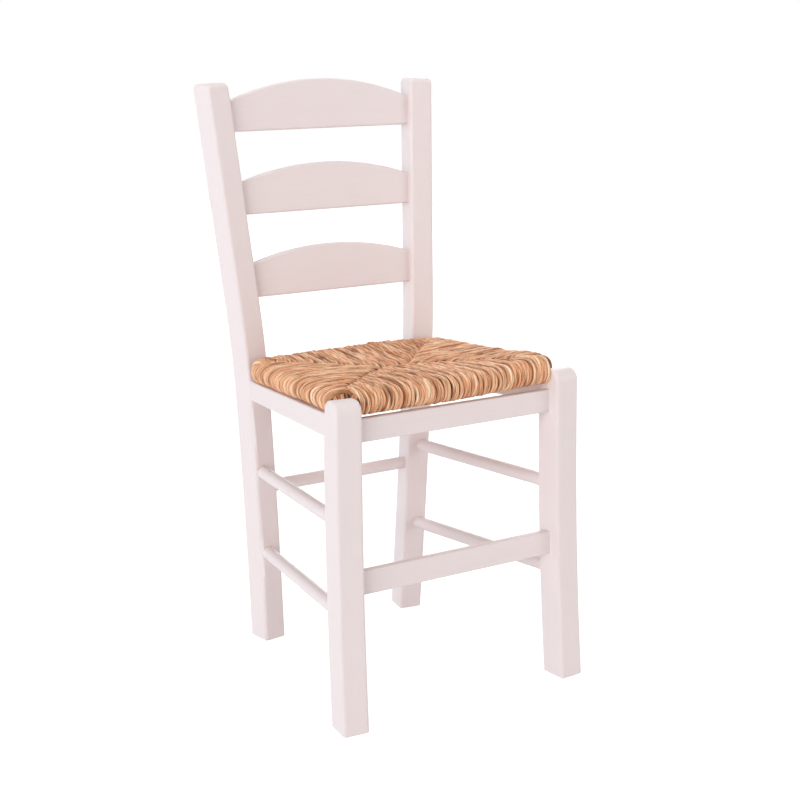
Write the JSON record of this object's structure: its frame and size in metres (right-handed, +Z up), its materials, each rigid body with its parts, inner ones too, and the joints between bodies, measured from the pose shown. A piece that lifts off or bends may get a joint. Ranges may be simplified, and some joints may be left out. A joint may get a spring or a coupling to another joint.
{
  "type": "ladder-back chair with rush seat",
  "caption": "Painted wooden ladder-back dining chair with arched back slats, bent rear posts, square front legs, stretchers and a rush seat wound on a loose frame.",
  "frame": {"origin": "on the floor, under the middle of the chair's box", "axes": "+Z up, the sitter faces -Y, +X to the right of a viewer in front"},
  "size_m": [0.4126, 0.4518, 0.883],
  "materials": {
    "white_paint": "satin white paint over beech, faintly pink",
    "bare_wood": "planed, unpainted",
    "rush": "twisted dry rush, straw to brown",
    "stuffing": "loose chopped rush",
    "screw_steel": "zinc plated"
  },
  "bodies": {
    "root": {"rear_post_left": "white_paint", "rear_post_right": "white_paint", "front_leg_left": "white_paint", "front_leg_right": "white_paint", "top_slat": "white_paint", "middle_slat": "white_paint", "lower_slat": "white_paint", "front_seat_rail": "white_paint", "rear_seat_rail": "white_paint", "left_seat_rail": "white_paint", "right_seat_rail": "white_paint", "front_stretcher": "white_paint", "rear_stretcher": "white_paint", "upper_left_stretcher": "white_paint", "upper_right_stretcher": "white_paint", "lower_left_stretcher": "white_paint", "lower_right_stretcher": "white_paint", "seat_frame_front_bar": "bare_wood", "seat_frame_rear_bar": "bare_wood", "seat_frame_left_bar": "bare_wood", "seat_frame_right_bar": "bare_wood", "seat_corner_block_left": "bare_wood", "seat_corner_block_right": "bare_wood", "rush_front_panel": "rush", "rush_rear_panel": "rush", "rush_left_panel": "rush", "rush_right_panel": "rush", "rush_stuffing": "stuffing", "seat_screws": "screw_steel"}
  },
  "joints": []
}
